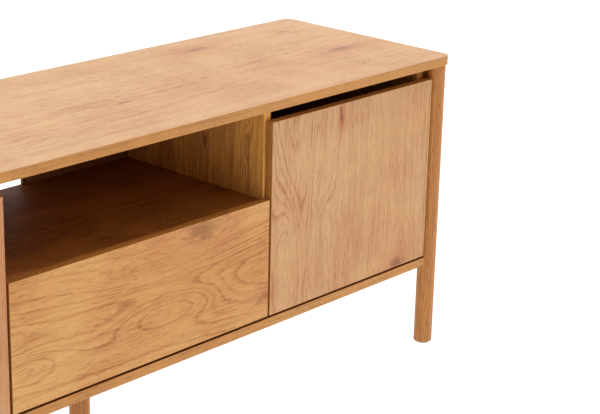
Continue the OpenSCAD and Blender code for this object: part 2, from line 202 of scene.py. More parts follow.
def oak(name, pale, deep, line, knots=(), hills=(), pith=(0.0, 0.05), taper=0.0, ring=0.004,
        swells=0.009, contrast=0.6, wander=0.010, gloss=0.46, shine=0.5, seed=0.0):
    """Lacquered oak. It reads the grain attribute: metres along the grain, across it and through it.

    knots are (along, across, radius, squeeze along the grain), and hills are (along, across, length,
    width, height) of the swellings that bend the rings into arches. pith is how far the heart of the log
    lies across from the board's middle and behind its face. ring is the width of a ring, and swells and
    wander are how far rings and fibres stray. Lengths are in metres.
    """
    g = Graph(name)
    grain = g.node("Attribute", attribute_name="grain").outputs["Vector"]
    u, v, w = g.node("SeparateXYZ", {"Vector": grain}).outputs
    offset = (seed, seed * 0.7, seed * 1.3)
    seeded = g.node("VectorMath", {0: grain, 1: offset}, operation="ADD").outputs[0]

    drift = g.sway(seeded, (2.4, 7.0, 7.0), 3.0)
    across = g.add(v, g.times(drift, wander * 2))
    across, heart, halo = bend_round_knots(g, seeded, u, v, across, knots)
    band = growth_rings(g, seeded, u, v, w, across, hills, pith, taper, ring, swells)
    streak, thread, fibre, hair, dash = wood_fibres(g, u, across, w, seed)
    pore = g.step(g.add(dash, g.times(band, 0.12)), 0.60, 0.70)
    cloud = g.noise(seeded, (1.6, 5.0, 5.0), 2.0)
    rough_thread = g.times(g.math("SUBTRACT", thread, 0.5), 0.5)
    broken = g.step(g.add(fibre, rough_thread), 0.36, 0.56, 0.35, 1.0)

    colour = g.blend(g.step(cloud, 0.3, 0.7), pale, deep)
    colour = g.blend(g.step(streak, 0.42, 0.72, 0.0, 0.42 * contrast), colour, line)
    colour = g.blend(g.step(thread, 0.48, 0.74, 0.0, 0.62 * contrast), colour, line)
    colour = g.blend(g.times(band, 0.95 * contrast, broken), colour, line)
    colour = g.blend(g.step(fibre, 0.50, 0.70, 0.0, 0.60 * contrast), colour, line)
    colour = g.blend(g.step(fibre, 0.5, 0.25, 0.0, 0.20), colour, WARM_SHEEN, "SOFT_LIGHT")
    colour = g.blend(g.step(hair, 0.35, 0.7, 0.0, 0.24), colour, line)
    colour = g.blend(g.times(pore, 0.50 * contrast), colour, tuple(c * 0.5 for c in line))
    if knots:
        colour = g.blend(g.times(halo, 0.70), colour, KNOT_HALO)
        colour = g.blend(g.times(heart, 0.90), colour, KNOT_HEART)
    # Painted highlight: the eased edges are painted lighter in patches, and are a little rougher there.
    eased = g.node("Attribute", attribute_name="eased").outputs["Fac"]
    eased_edge_highlight = g.times(eased, g.step(g.noise(seeded, (9.0, 9.0, 9.0), 3.0), 0.35, 0.7, 0.1, 0.45))
    colour = g.blend(eased_edge_highlight, colour, tuple(min(1.0, c * 1.12) for c in pale))
    g.feed(g.shader.inputs["Base Color"], colour)

    roughness = g.add(gloss - 0.05, g.times(fibre, 0.10), g.times(pore, 0.14), g.times(eased_edge_highlight, 0.08))
    g.feed(g.shader.inputs["Roughness"], roughness)
    relief = g.add(g.times(fibre, 0.30), g.times(hair, 0.15), g.times(pore, -0.85), g.times(band, -0.25))
    g.bump(relief, 0.00022)
    g.shader.inputs["IOR"].default_value = 1.46
    g.shader.inputs["Specular IOR Level"].default_value = shine
    return g.material


# ---------------------------------------------------------------- boards

def copy_of(node, name):
    """A welded copy of a CAD node's mesh as a new object, with its flat faces whole."""
    bm = bmesh.new()
    bm.from_mesh(nodes[node].data)
    bmesh.ops.remove_doubles(bm, verts=bm.verts, dist=WELD)
    flat = math.radians(0.5)
    bmesh.ops.dissolve_limit(bm, angle_limit=flat, verts=bm.verts, edges=bm.edges,
                             use_dissolve_boundaries=False)
    mesh = bpy.data.meshes.new(name)
    bm.to_mesh(mesh)
    bm.free()
    made = bpy.data.objects.new(name, mesh)
    bpy.context.scene.collection.objects.link(made)
    return made


def ease_edges(obj, low, high, thick, ease, corner_r=0.0):
    """Rounds the board's outer edges, and leaves its holes and grooves sharp.

    corner_r is the radius of the board's own round corners, whose edges are eased as well.
    """
    bm = bmesh.new()
    bm.from_mesh(obj.data)
    eased = bm.verts.layers.float.new("eased")
    touching = 1e-5
    sharp = math.radians(50)
    chosen = []
    for edge in bm.edges:
        if not edge.is_manifold or edge.calc_face_angle() < sharp:
            continue
        middle = (edge.verts[0].co + edge.verts[1].co) / 2
        inset = [min(abs(middle[a] - low[a]), abs(middle[a] - high[a])) for a in (X, Y, Z)]
        along_box = sum(gap < touching for gap in inset) >= 2
        at_corner = corner_r and all(inset[a] < corner_r for a in (X, Y, Z) if a != thick)
        if along_box or at_corner:
            chosen.append(edge)
    made = bmesh.ops.bevel(bm, geom=chosen, offset=ease, segments=3, profile=0.5, affect="EDGES",
                           clamp_overlap=True)
    for vert in {v for face in made["faces"] for v in face.verts}:
        vert[eased] = 1.0
    bm.to_mesh(obj.data)
    bm.free()


def paint_grain(obj, low, high, along, thick, shift):
    """Stores each corner's place along the grain, across it and through the board.

    The edges are banded, so their grain is a strip of its own that runs along each edge.
    """
    across = X + Y + Z - along - thick
    middle = (low + high) / 2
    mesh = obj.data
    layer = mesh.attributes.new("grain", "FLOAT_VECTOR", "CORNER")
    for face in mesh.polygons:
        normal = [abs(c) for c in face.normal]
        main = normal[thick] > 0.9
        at_end = normal[along] > normal[across]
        face.material_index = 0 if main else 1
        for corner in face.loop_indices:
            p = mesh.vertices[mesh.loops[corner].vertex_index].co - middle
            if main:
                place = (p[along], p[across], p[thick] + shift)
            elif at_end:
                place = (p[across] + 2.0, p[thick] + 0.3, shift)
            else:
                place = (p[along] + 1.0, p[thick] + 0.2, shift)
            layer.data[corner].vector = place


def finish_shading(obj, angle=40):
    """Smooth over the eased edges, flat on the big faces."""
    obj.data.polygons.foreach_set("use_smooth", [True] * len(obj.data.polygons))
    obj.data.set_sharp_from_angle(angle=math.radians(angle))
    weighted = obj.modifiers.new("weighted", "WEIGHTED_NORMAL")
    weighted.keep_sharp = True


def stand_for(obj, node):
    """obj is shown in place of a CAD node and moves with its body."""
    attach(obj, node_body[node])
    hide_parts(node)
    return obj


def board(node, along, thick, face, edge, ease=0.0009, shift=0.0, corner_r=0.0):
    """A board from its CAD node: eased edges, its own stretch of grain, and banded edges."""
    made = copy_of(node, "board_" + node)
    low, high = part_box(node)
    ease_edges(made, low, high, thick, ease, corner_r)
    made.data.materials.clear()
    made.data.materials.append(face)
    made.data.materials.append(edge)
    paint_grain(made, low, high, along, thick, shift)
    finish_shading(made)
    return stand_for(made, node)


def leg(node, shift):
    """A turned leg: solid wood, with the grain upright and its rings running through."""
    made = copy_of(node, "turned_" + node)
    low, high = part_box(node)
    middle = (low + high) / 2
    mesh = made.data
    mesh.materials.clear()
    mesh.materials.append(leg_wood)
    layer = mesh.attributes.new("grain", "FLOAT_VECTOR", "CORNER")
    for loop, store in zip(mesh.loops, layer.data):
        p = mesh.vertices[loop.vertex_index].co - middle
        store.vector = (p.z + shift, p.x, p.y)
    finish_shading(made, 35)
    return stand_for(made, node)


# Linear colours of each wood: its pale and deep heartwood, and the dark line of its early wood
PALE = (0.58, 0.350, 0.168)
DEEP = (0.52, 0.276, 0.116)
LINE = (0.39, 0.128, 0.040)
GOLD_PALE = (0.61, 0.340, 0.117)
GOLD_DEEP = (0.56, 0.252, 0.076)
GOLD_LINE = (0.33, 0.080, 0.016)
BAND_PALE = (0.52, 0.232, 0.046)
BAND_DEEP = (0.46, 0.178, 0.024)
BAND_LINE = (0.25, 0.075, 0.009)
# Darkened colours: painted shade for the wood that lies in the shadow of the bay and the cupboards
SHADE_PALE = (0.28, 0.094, 0.015)
SHADE_DEEP = (0.22, 0.064, 0.008)
SHADE_LINE = (0.09, 0.020, 0.003)

edge_band = oak("oak_edge_band", BAND_PALE, BAND_DEEP, BAND_LINE, ring=0.003, contrast=0.6, seed=4.1)
top_wood = oak("oak_top_veneer", PALE, DEEP, LINE, pith=(-0.03, 0.06), taper=0.01,
               knots=[(0.416, 0.131, 0.014, 0.35), (0.603, -0.036, 0.013, 0.25),
                      (0.622, 0.126, 0.004, 0.5), (0.084, -0.045, 0.004, 0.2),
                      (0.279, -0.020, 0.004, 0.2), (-0.38, -0.08, 0.011, 0.3),
                      (-0.61, 0.09, 0.006, 0.4)],
               hills=[(0.60, -0.12, 0.10, 0.035, 0.040), (0.22, -0.08, 0.22, 0.030, 0.030),
                      (-0.25, 0.05, 0.28, 0.030, 0.035)],
               ring=0.006, contrast=0.55, wander=0.012, seed=1.7)
drawer_wood = oak("oak_drawer_veneer", GOLD_PALE, GOLD_DEEP, GOLD_LINE, pith=(-0.012, 0.060),
                  knots=[(0.121, 0.089, 0.020, 0.35), (0.252, -0.065, 0.011, 0.5)],
                  hills=[(0.040, -0.028, 0.115, 0.030, 0.055), (-0.010, 0.056, 0.085, 0.018, 0.036),
                         (-0.250, -0.040, 0.090, 0.026, 0.050)],
                  ring=0.0055, swells=0.010, contrast=0.76, wander=0.007, shine=0.25, seed=2.9)
# Painted shade: the drawer front's edges are darkened to stand for the shade under the top's overhang.
shaded_drawer_edge = oak("oak_drawer_edge_painted_shade", (0.36, 0.135, 0.024), (0.30, 0.100, 0.014), SHADE_LINE, ring=0.003,
                  contrast=0.6, shine=0.2, seed=2.2)
door_right_wood = oak("oak_door_right_veneer", PALE, DEEP, LINE, pith=(-0.15, 0.05), taper=0.03,
                      knots=[(-0.160, 0.126, 0.022, 1.5), (0.145, -0.038, 0.005, 0.25)],
                      hills=[(-0.10, -0.168, 0.13, 0.026, 0.062), (-0.06, -0.072, 0.11, 0.018, 0.040)],
                      ring=0.005, contrast=0.85, shine=0.25, seed=6.3)
door_left_wood = oak("oak_door_left_veneer", PALE, DEEP, LINE, pith=(0.06, 0.05), taper=-0.03,
                     knots=[(0.080, -0.090, 0.011, 0.3), (0.000, 0.215, 0.011, 0.02)],
                     hills=[(0.05, 0.06, 0.13, 0.026, 0.045), (-0.08, 0.10, 0.10, 0.018, 0.030)],
                     ring=0.005, contrast=0.80, shine=0.25, seed=8.8)
post_wood = oak("oak_panel_veneer", (0.66, 0.310, 0.075), (0.57, 0.235, 0.045), (0.24, 0.072, 0.011),
                pith=(0.02, 0.06), taper=0.02, knots=[(0.096, -0.018, 0.005, 0.3)], contrast=0.85,
                shine=0.3, seed=3.3)
side_wood = oak("oak_side_veneer", PALE, DEEP, LINE, pith=(0.04, 0.05), taper=0.02,
                knots=[(-0.06, 0.11, 0.010, 0.3), (0.09, -0.08, 0.006, 0.3)],
                hills=[(-0.02, -0.03, 0.14, 0.026, 0.040), (0.10, 0.09, 0.10, 0.016, 0.025)],
                ring=0.005, contrast=0.80, shine=0.3, seed=10.4)
# Painted light: the divider woods are brightened well past the other veneers to stand for the light
# falling on the dividers' faces and front edges.
lit_divider_wood = oak("oak_divider_veneer_painted_light", (0.86, 0.430, 0.105), (0.76, 0.335, 0.062),
                   (0.28, 0.082, 0.012), pith=(0.03, 0.05), taper=0.02,
                   knots=[(0.096, -0.028, 0.007, 0.6), (-0.060, 0.090, 0.004, 0.3)],
                   hills=[(0.110, -0.120, 0.060, 0.012, 0.020)], contrast=0.95, shine=0.3, seed=4.7)
lit_divider_edge = oak("oak_divider_edge_painted_light", (0.86, 0.420, 0.090), (0.78, 0.345, 0.058), (0.34, 0.105, 0.014),
                   ring=0.003, contrast=0.6, seed=5.9)
# Painted shade: the shelf and bottom panel wood is darkened to stand for the shade inside the bay and the
# cupboards.
shaded_shelf_wood = oak("oak_shelf_veneer_painted_shade", SHADE_PALE, SHADE_DEEP, SHADE_LINE, pith=(-0.05, 0.05),
                 knots=[(-0.051, 0.034, 0.005, 0.3), (-0.228, -0.160, 0.004, 0.4)],
                 hills=[(-0.081, -0.150, 0.050, 0.012, 0.020)], contrast=1.1, gloss=0.52, shine=0.15,
                 seed=3.9)
leg_wood = oak("oak_leg_solid", (0.55, 0.225, 0.040), (0.49, 0.178, 0.024), (0.29, 0.085, 0.010),
               pith=(0.03, 0.045), ring=0.003, swells=0.003, contrast=0.7, wander=0.004, gloss=0.42,
               seed=5.2)
# Painted shade: the back boards are darkened to stand for the deep shade at the back of the bay.
shaded_back_wood = oak("oak_back_foil_painted_shade", (0.28, 0.10, 0.026), (0.23, 0.075, 0.016), (0.12, 0.032, 0.006),
                contrast=0.6, gloss=0.5, shine=0.2, seed=7.4)
ply_wood = oak("birch_ply", (0.64, 0.47, 0.28), (0.60, 0.42, 0.24), (0.44, 0.27, 0.13),
               ring=0.012, contrast=0.45, gloss=0.5, seed=9.9)

board("top_panel", X, Z, top_wood, edge_band, ease=0.0012, corner_r=0.0205)
board("bottom_panel", X, Z, shaded_shelf_wood, edge_band, shift=0.5)
board("bay_floor", X, Z, shaded_shelf_wood, edge_band)
board("drawer_front", X, Y, drawer_wood, shaded_drawer_edge, ease=0.0006)
board("door_right", Z, Y, door_right_wood, edge_band, ease=0.0006)
board("door_left", Z, Y, door_left_wood, edge_band, ease=0.0006)
for side, shift in (("left", 0.0), ("right", 0.02)):
    board("side_panel_" + side, Z, X, side_wood, edge_band, shift=shift)
    board("divider_" + side, Z, X, lit_divider_wood, lit_divider_edge)
    board("hinge_post_" + side, Z, X, post_wood, edge_band, shift=shift + 0.6)
    board("cupboard_shelf_" + side, X, Z, side_wood, edge_band, shift=shift + 0.7)
    board("back_board_" + side, Z, Y, shaded_back_wood, shaded_back_wood, ease=0.0007, shift=shift)
    board("drawer_side_" + side, Y, X, ply_wood, ply_wood, shift=shift)
board("back_board_centre", Z, Y, shaded_back_wood, shaded_back_wood, ease=0.0007, shift=0.2)
board("drawer_box_front", X, Y, ply_wood, ply_wood, shift=0.3)
board("drawer_box_back", X, Y, ply_wood, ply_wood, shift=0.4)
board("drawer_bottom", X, Z, ply_wood, ply_wood, ease=0.0004, shift=0.5)
for number, place in enumerate(("front_left", "front_right", "back_left", "back_right", "centre")):
    leg("leg_" + place, number * 0.7)


# ---------------------------------------------------------------- fittings

def steel(name, tint, rough, seed):
    """Zinc-plated steel: faint clouds in the plating and short brushed marks."""
    g = Graph(name)
    place = g.node("TexCoord").outputs["Object"]
    shifted = g.node("VectorMath", {0: place, 1: (seed, seed, seed)}, operation="ADD").outputs[0]
    cloud = g.noise(shifted, (90.0, 90.0, 90.0), 4.0)
    marks = g.noise(shifted, (900.0, 140.0, 900.0), 3.0)
    grime = g.noise(shifted, (35.0, 35.0, 35.0), 3.0)
    colour = g.blend(g.step(cloud, 0.3, 0.7), tint, tuple(c * 0.82 for c in tint))
    colour = g.blend(g.step(grime, 0.55, 0.80, 0.0, 0.35), colour, (0.34, 0.30, 0.24))
    g.feed(g.shader.inputs["Base Color"], colour)
    g.feed(g.shader.inputs["Roughness"], g.add(rough - 0.10, g.times(cloud, 0.12), g.times(marks, 0.10)))
    g.bump(g.add(marks, g.times(cloud, 0.5)), 0.00004)
    g.shader.inputs["Metallic"].default_value = 1.0
    return g.material


def moulded(name, tint, rough, grit, depth, seed):
    """Plastic, rubber or felt: a fine surface grain, pale at its peaks, over faint clouds.

    grit is the grain's waves per metre and depth its height in metres.
    """
    g = Graph(name)
    place = g.node("TexCoord").outputs["Object"]
    shifted = g.node("VectorMath", {0: place, 1: (seed, seed, seed)}, operation="ADD").outputs[0]
    grain = g.noise(shifted, (grit, grit, grit), 3.0)
    cloud = g.noise(shifted, (40.0, 40.0, 40.0), 3.0)
    colour = g.blend(g.step(cloud, 0.3, 0.7), tint, tuple(c * 0.78 for c in tint))
    peak = tuple(min(1.0, c * 1.5) for c in tint)
    colour = g.blend(g.step(grain, 0.45, 0.75, 0.0, 0.30), colour, peak)
    g.feed(g.shader.inputs["Base Color"], colour)
    g.feed(g.shader.inputs["Roughness"], g.add(rough - 0.08, g.times(grain, 0.10), g.times(cloud, 0.08)))
    g.bump(grain, depth)
    return g.material


zinc = steel("zinc_plate", (0.66, 0.67, 0.68), 0.34, 0.3)
rail_zinc = steel("zinc_rail", (0.60, 0.61, 0.63), 0.30, 1.3)
grey_plastic = moulded("grey_moulding", (0.045, 0.045, 0.048), 0.50, 1500.0, 0.00005, 0.7)
white_plastic = moulded("white_moulding", (0.70, 0.67, 0.60), 0.42, 1500.0, 0.00003, 1.9)
felt = moulded("felt_and_rubber", (0.020, 0.018, 0.016), 0.85, 2600.0, 0.00020, 2.7)
beech = oak("beech_dowel", (0.62, 0.40, 0.22), (0.56, 0.34, 0.17), (0.40, 0.21, 0.10),
            contrast=0.4, seed=6.1)


def ring_of(radius, count=32, x=0.0, y=0.0):
    """The points of a circle, counter-clockwise."""
    turns = [2 * math.pi * k / count for k in range(count)]
    return [(x + radius * math.cos(t), y + radius * math.sin(t)) for t in turns]


def rounded(width, height, radius, x=0.0, y=0.0, steps=4):
    """A rectangle with round corners, counter-clockwise."""
    points = []
    for quarter, (sx, sy) in enumerate(((1, 1), (-1, 1), (-1, -1), (1, -1))):
        middle_x = x + sx * (width / 2 - radius)
        middle_y = y + sy * (height / 2 - radius)
        for k in range(steps + 1):
            turn = math.pi / 2 * (quarter + k / steps)
            points.append((middle_x + radius * math.cos(turn), middle_y + radius * math.sin(turn)))
    return points


def cross(reach, width):
    """The outline of a screw's cross recess."""
    w = width / 2
    return [(reach, -w), (reach, w), (w, w), (w, reach), (-w, reach), (-w, w),
            (-reach, w), (-reach, -w), (-w, -w), (-w, -reach), (w, -reach), (w, -w)]


class Fitting:
    """Closed solids gathered into one mesh. Each is drawn in a frame whose Z is the solid's own axis."""

    def __init__(self):
        self.bm = bmesh.new()
        self.place = Matrix.Identity(4)

    def at(self, origin, x_axis, z_axis):
        """Sets the frame by its origin, the way its X runs and the way its Z runs."""
        x_axis = Vector(x_axis)
        z_axis = Vector(z_axis)
        turned = Matrix((x_axis, z_axis.cross(x_axis), z_axis)).transposed().to_4x4()
        self.place = Matrix.Translation(origin) @ turned
        return self

    def loop(self, points, z):
        """New vertices at a height of the frame."""
        return [self.bm.verts.new(self.place @ Vector((x, y, z))) for x, y in points]

    def wall(self, a, b):
        """Faces between two loops of the same count."""
        for k in range(len(a)):
            self.bm.faces.new((a[k - 1], a[k], b[k], b[k - 1]))

    def edges_of(self, loop):
        """The loop's closed chain of edges, made where they are missing."""
        return [self.bm.edges.get((loop[k - 1], loop[k])) or self.bm.edges.new((loop[k - 1], loop[k]))
                for k in range(len(loop))]

    def stack(self, outline, levels, recess=None, floor=0.0):
        """Scaled copies of an outline at (height, scale) levels; recess is sunk in the last, to floor."""
        loops = [self.loop([(x * scale, y * scale) for x, y in outline], z) for z, scale in levels]
        for low, high in zip(loops, loops[1:]):
            self.wall(low, high)
        self.bm.faces.new(loops[0])
        if recess is None:
            self.bm.faces.new(loops[-1])
            return self
        mouth = self.loop(recess, levels[-1][0])
        base = self.loop(recess, floor)
        self.wall(mouth, base)
        self.bm.faces.new(base)
        rims = self.edges_of(loops[-1]) + self.edges_of(mouth)
        bmesh.ops.triangle_fill(self.bm, use_beauty=True, edges=rims)
        return self

    def plate(self, outline, z0, z1, *holes):
        """A flat plate with holes right through it."""
        sides = [[self.loop(points, z) for points in (outline, *holes)] for z in (z0, z1)]
        for low, high in zip(*sides):
            self.wall(low, high)
        for loops in sides:
            rims = [edge for loop in loops for edge in self.edges_of(loop)]
            bmesh.ops.triangle_fill(self.bm, use_beauty=True, edges=rims)
        return self

    def screw(self, head_r, head_h, shank_r, length):
        """A screw whose head stands on z = 0 and whose shank runs to z = -length."""
        pitch = shank_r * 0.8
        turns = int((length - 2 * shank_r) / pitch)
        levels = [(-length, 0.12 * shank_r)]
        for k in range(turns):
            z = -length + 2 * shank_r + k * pitch
            levels.append((z, shank_r))
            levels.append((z + pitch / 2, shank_r * 0.78))
        levels.append((0.0, shank_r))
        self.stack(ring_of(1.0, 16), levels)
        head = [(0.0, head_r), (head_h * 0.35, head_r), (head_h * 0.75, head_r * 0.90),
                (head_h, head_r * 0.68)]
        return self.stack(ring_of(1.0, 32), head, cross(head_r * 0.55, head_r * 0.20), head_h * 0.25)

    def finish(self, name, node, material, angle=35):
        """Makes the object that is shown in place of a CAD node."""
        bmesh.ops.recalc_face_normals(self.bm, faces=self.bm.faces)
        mesh = bpy.data.meshes.new(name)
        self.bm.to_mesh(mesh)
        self.bm.free()
        mesh.materials.append(material)
        made = bpy.data.objects.new(name, mesh)
        bpy.context.scene.collection.objects.link(made)
        finish_shading(made, angle)
        return stand_for(made, node)


def solids(node):
    """The separate solids of a CAD node, each by its lowest and highest corner."""
    bm = bmesh.new()
    bm.from_mesh(nodes[node].data)
    bmesh.ops.remove_doubles(bm, verts=bm.verts, dist=WELD)
    bm.verts.ensure_lookup_table()
    seen = [False] * len(bm.verts)
    boxes = []
    for first in bm.verts:
        if seen[first.index]:
            continue
        seen[first.index] = True
        front = [first]
        points = []
        while front:
            vert = front.pop()
            points.append(vert.co.copy())
            for edge in vert.link_edges:
                other = edge.other_vert(vert)
                if not seen[other.index]:
                    seen[other.index] = True
                    front.append(other)
        low = Vector([min(p[a] for p in points) for a in (X, Y, Z)])
        high = Vector([max(p[a] for p in points) for a in (X, Y, Z)])
        boxes.append((low, high))
    bm.free()
    return boxes


def long_axis(low, high):
    """The axis that a box is longest on."""
    size = high - low
    return max((X, Y, Z), key=lambda a: size[a])


def unit(axis, sign=1.0):
    """A unit vector up or down an axis."""
    return Vector([sign if a == axis else 0.0 for a in (X, Y, Z)])


def end_point(low, high, axis, sign):
    """The middle of a box's end face."""
    point = (low + high) / 2
    point[axis] = high[axis] if sign > 0 else low[axis]
    return point


def make_dowels():
    """Fluted dowels with chamfered ends."""
    made = Fitting()
    for low, high in solids("dowels"):
        axis = long_axis(low, high)
        radius = (high - low)[(axis + 1) % 3] / 2
        length = (high - low)[axis]
        crest = ring_of(radius * 0.99, 40)
        valley = ring_of(radius * 0.99 * 0.93, 40)
        flutes = [crest[k] if k % 2 else valley[k] for k in range(40)]
        chamfer = 0.001
        made.at(end_point(low, high, axis, -1), unit((axis + 1) % 3), unit(axis))
        made.stack(flutes, [(0.0, 0.75), (chamfer, 1.0), (length - chamfer, 1.0), (length, 0.75)])
    made.finish("fluted_dowels", "dowels", beech)


def make_shelf_pins():
    """Steel pins with a collar at the panel and a rounded free end."""
    made = Fitting()
    panels = [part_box(kind + side) for kind in ("divider_", "side_panel_") for side in ("left", "right")]
    for low, high in solids("shelf_pins"):
        middle = (low + high) / 2
        panel_low, panel_high = min(panels, key=lambda box: min(abs(middle.x - box[0].x),
                                                                abs(middle.x - box[1].x)))
        into = 1.0 if middle.x > (panel_low.x + panel_high.x) / 2 else -1.0
        radius = (high.z - low.z) / 2
        half = (high.x - low.x) / 2
        made.at(middle, unit(Y), unit(X, into))
        held_end = [(-half, radius * 0.7), (-half + 0.0006, radius), (0.0001, radius)]
        made.stack(ring_of(1.0, 24), held_end)
        collar_r = radius * 1.4
        free_end = [(0.0001, radius), (0.0001, collar_r), (0.0007, collar_r), (0.0009, radius),
                    (half - 0.001, radius), (half - 0.0003, radius * 0.85), (half, radius * 0.5)]
        made.stack(ring_of(1.0, 24), free_end)
    made.finish("collared_shelf_pins", "shelf_pins", zinc)


def make_cams():
    """Cam discs with a cross slot and a chamfered rim, and the waisted bolts that they draw up."""
    discs = Fitting()
    for low, high in solids("cam_discs"):
        radius = (high.x - low.x) / 2
        depth = high.z - low.z
        discs.at(end_point(low, high, Z, 1), unit(X), unit(Z, -1))
        levels = [(0.0, radius * 0.9), (0.0005, radius),
                  (depth - 0.0006, radius), (depth, radius * 0.93)]
        discs.stack(ring_of(1.0, 40), levels, cross(radius * 0.66, radius * 0.22), depth - 0.0025)
    discs.finish("slotted_cam_discs", "cam_discs", zinc)
    bolts = Fitting()
    for low, high in solids("cam_bolts"):
        radius = (high.z - low.z) / 2
        length = high.x - low.x
        outward = 1.0 if low.x > 0 else -1.0
        bolts.at(end_point(low, high, X, -outward), unit(Y), unit(X, outward))
        levels = [(0.0, radius * 0.8), (0.0006, radius), (0.003, radius), (0.0036, radius * 0.55),
                  (0.007, radius * 0.55), (0.008, radius * 0.9), (length - 0.011, radius * 0.9)]
        for k in range(9):
            levels.append((length - 0.010 + k * 0.001, radius * (1.0 if k % 2 else 0.8)))
        levels.append((length, radius * 0.5))
        bolts.stack(ring_of(1.0, 20), levels)
    bolts.finish("waisted_cam_bolts", "cam_bolts", zinc)


def make_screws(node, name, axis, inward_head, head_h, shank_ratio):
    """Pan-head screws with a cross recess. Their heads point up the axis, or inward if inward_head."""
    made = Fitting()
    for low, high in solids(node):
        sign = 1.0
        if inward_head:
            sign = -1.0 if low[axis] > 0 else 1.0
        head_r = (high.z - low.z) / 2
        length = (high - low)[axis] - head_h
        seat = end_point(low, high, axis, sign) - unit(axis, sign) * head_h
        made.at(seat, unit(Z), unit(axis, sign))
        made.screw(head_r, head_h, head_r * shank_ratio, length)
    made.finish(name, node, zinc)


def make_hinge_arms(side, inward):
    """Clip-on hinge arms: winged plates, an arm with two adjusting screws, and the links to the cup.

    inward is the way from the post into the cupboard, along X.
    """
    node = "hinge_arms_" + side
    made = Fitting()
    arm_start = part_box("hinge_post_" + side)[0].y + 0.0002
    screw_low, screw_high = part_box("hinge_screws")
    plate_y = (screw_low.y + screw_high.y) / 2
    plate_w = 0.0236
    wells_y = (plate_y - 0.004, plate_y + 0.012)
    screw_up = 0.015
    pin_r = 0.0013
    pin_len = 0.011
    for low, high in solids(node):
        centre = (low.z + high.z) / 2
        reach = high.x - low.x
        height = high.z - low.z
        post_face = high.x if inward < 0 else low.x
        across = unit(X, inward)
        # In this frame X is the depth, Y is the height and Z runs from the post into the cupboard.
        made.at((post_face, 0.0, centre), unit(Y), across)
        bolt_holes = [ring_of(0.0021, 20, plate_y, sign * screw_up) for sign in (-1, 1)]
        made.plate(rounded(plate_w, height, 0.006, plate_y, 0.0), 0.0, 0.0020, *bolt_holes)
        made.plate(rounded(plate_w, 0.015, 0.002, plate_y, 0.0), 0.0020, 0.0030)
        arm_len = high.y - arm_start
        arm_mid = (arm_start + high.y) / 2
        step = reach - 0.0012
        wells = [ring_of(0.0031, 24, y, 0.0) for y in wells_y]
        made.plate(rounded(arm_len, 0.0120, 0.0025, arm_mid, 0.0), 0.0031, step)
        made.plate(rounded(arm_len - 0.001, 0.0110, 0.0022, arm_mid, 0.0), step, reach, *wells)
        nose_len = arm_start - low.y
        for shift in (-0.0042, 0.0, 0.0042):
            link = rounded(nose_len, 0.0024, 0.0011, low.y + nose_len / 2, shift)
            made.plate(link, 0.0045, reach - 0.0005)
        for y in wells_y:
            made.at((post_face + inward * (reach - 0.0011), y, centre), unit(Y), across)
            made.stack(ring_of(1.0, 24), [(0.0, 0.0028), (0.0006, 0.0028), (0.0009, 0.0024)],
                       cross(0.0017, 0.0006), 0.0003)
        made.at((post_face + inward * reach / 2, low.y + 0.0016, centre - pin_len / 2), unit(X), unit(Z))
        made.stack(ring_of(1.0, 16), [(0.0, pin_r), (pin_len, pin_r)])
    made.finish("clip_hinge_arms_" + side, node, zinc)


def flange_lobe(radius, half_h, sign):
    """The outline of a cup flange's lobe: an arc of the cup's rim, and a narrower rounded tip."""
    turns = [math.radians(52 + 76 * k / 12) for k in range(13)]
    arc = [(radius * math.cos(t), sign * radius * math.sin(t)) for t in turns]
    tip_r = 0.006
    tip_x = 0.011 - tip_r
    tip_y = half_h - tip_r
    bends = [math.radians(a) for a in (90, 60, 30, 0)]
    corner = [(-tip_x - tip_r * math.sin(a), sign * (tip_y + tip_r * math.cos(a))) for a in bends]
    return arc + corner + [(-x, y) for x, y in reversed(corner)]


def make_hinge_cups(side):
    """Pressed cups with a rolled rim, and a flange lobe with its own screw above and below each."""
    node = "hinge_cups_" + side
    made = Fitting()
    door_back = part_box("door_" + side)[1].y
    radius = 0.0175
    bore = radius - 0.0015
    for low, high in solids(node):
        flange_t = high.y - door_back
        depth = door_back - low.y
        middle = (low + high) / 2
        half_h = (high.z - low.z) / 2
        hole_up = half_h - 0.0042
        made.at((middle.x, door_back, middle.z), unit(X), unit(Y))
        levels = [(-depth, radius * 0.90), (-depth + 0.002, radius),
                  (flange_t * 0.6, radius), (flange_t, radius * 0.97)]
        made.stack(ring_of(1.0, 64), levels, ring_of(bore, 64), -depth + 0.001)
        for sign in (-1, 1):
            hole = ring_of(0.0018, 20, 0.0, sign * hole_up)
            made.plate(flange_lobe(radius, half_h, sign), 0.0, flange_t * 0.85, hole)
        head = [(0.0, 0.0010), (flange_t * 0.3, 0.0017), (flange_t * 0.7, 0.0017)]
        for sign in (-1, 1):
            made.at((middle.x, door_back, middle.z + sign * hole_up), unit(X), unit(Y))
            made.stack(ring_of(1.0, 20), head, cross(0.0010, 0.0004), flange_t * 0.4)
    made.finish("pressed_hinge_cups_" + side, node, zinc)


def make_strike(side):
    """The steel plate that the magnet holds, with its screw."""
    node = "strike_" + side
    made = Fitting()
    low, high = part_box(node)
    size = high - low
    middle = (low + high) / 2
    made.at((middle.x, low.y, middle.z), unit(X), unit(Y))
    made.plate(rounded(size.x, size.z, 0.0018), 0.0, size.y, ring_of(0.0021, 24))
    head = [(0.0, 0.0012), (size.y * 0.4, 0.0020), (size.y * 0.8, 0.0020)]
    made.stack(ring_of(1.0, 24), head, cross(0.0012, 0.0005), size.y * 0.45)
    made.finish("pierced_" + node, node, zinc)


